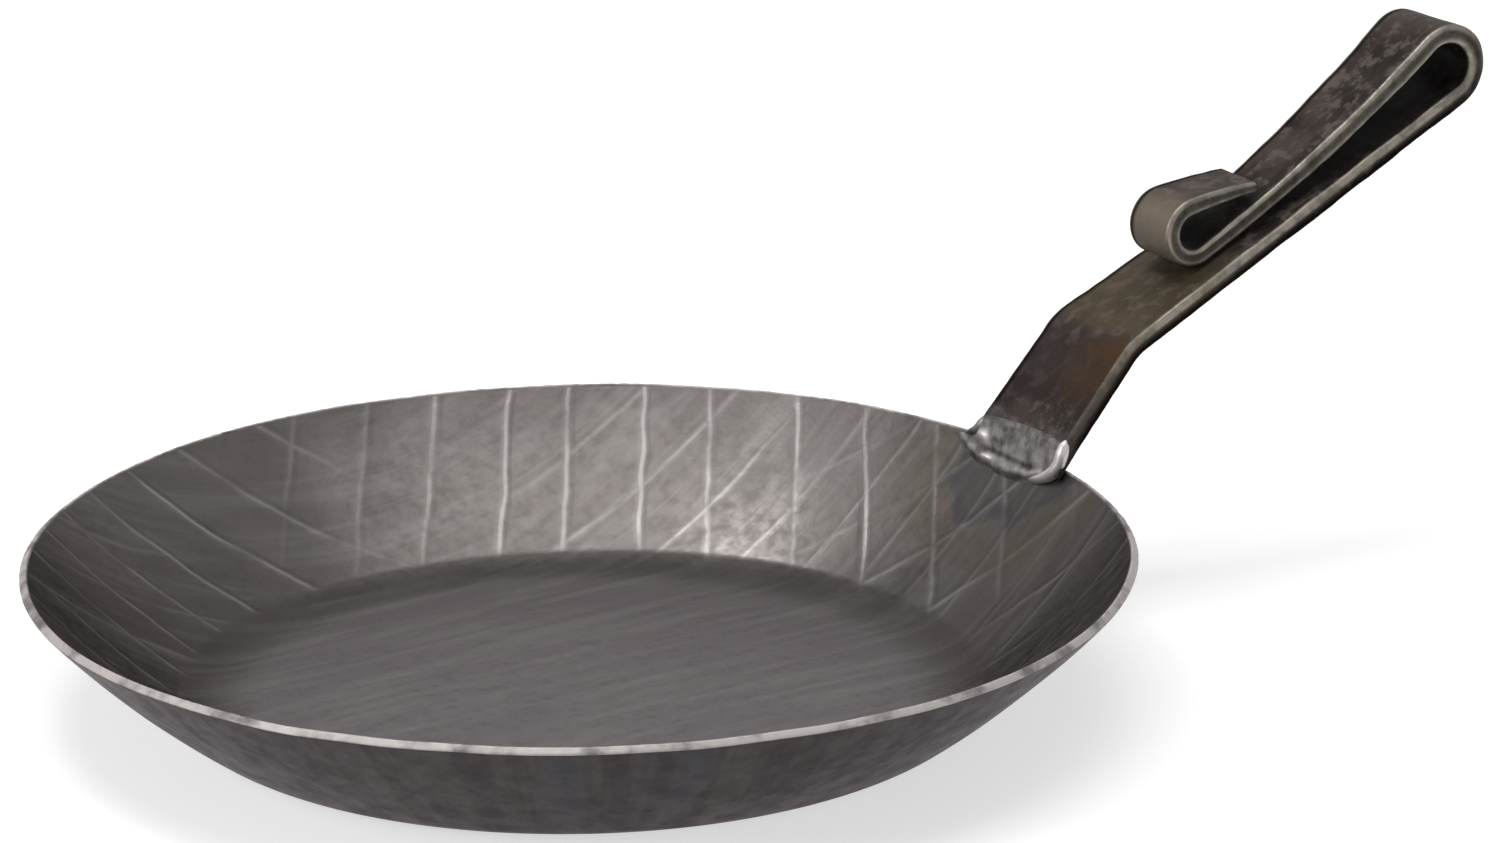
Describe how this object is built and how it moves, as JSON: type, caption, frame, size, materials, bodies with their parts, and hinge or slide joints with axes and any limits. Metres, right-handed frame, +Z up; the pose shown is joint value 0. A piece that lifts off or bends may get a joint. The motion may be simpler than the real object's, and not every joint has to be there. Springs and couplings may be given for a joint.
{
  "type": "serving pan",
  "caption": "Low flared round pan in dark iron with an upswept flat-bar handle, bent into a hanging loop and a small scroll, welded inside the rim.",
  "frame": {"origin": "centre of the flat underside of the base, on the pan's axis", "axes": "+Z up along the pan's axis, +X out along the handle, -Y the side from which the handle is on the right"},
  "size_m": [0.3555, 0.2396, 0.1138],
  "materials": {
    "pan_iron": "dark satin iron with scored lattice lines and a worn bright rim",
    "bar_iron": "forge-scaled satin black iron with bright worn edges and a heat tint on the neck",
    "weld_metal": "wire-brushed weld metal"
  },
  "bodies": {
    "root": {"pan_body": "pan_iron", "handle_bar": "bar_iron", "weld_toe_run": "weld_metal", "weld_left_run": "weld_metal", "weld_right_run": "weld_metal"}
  },
  "joints": []
}
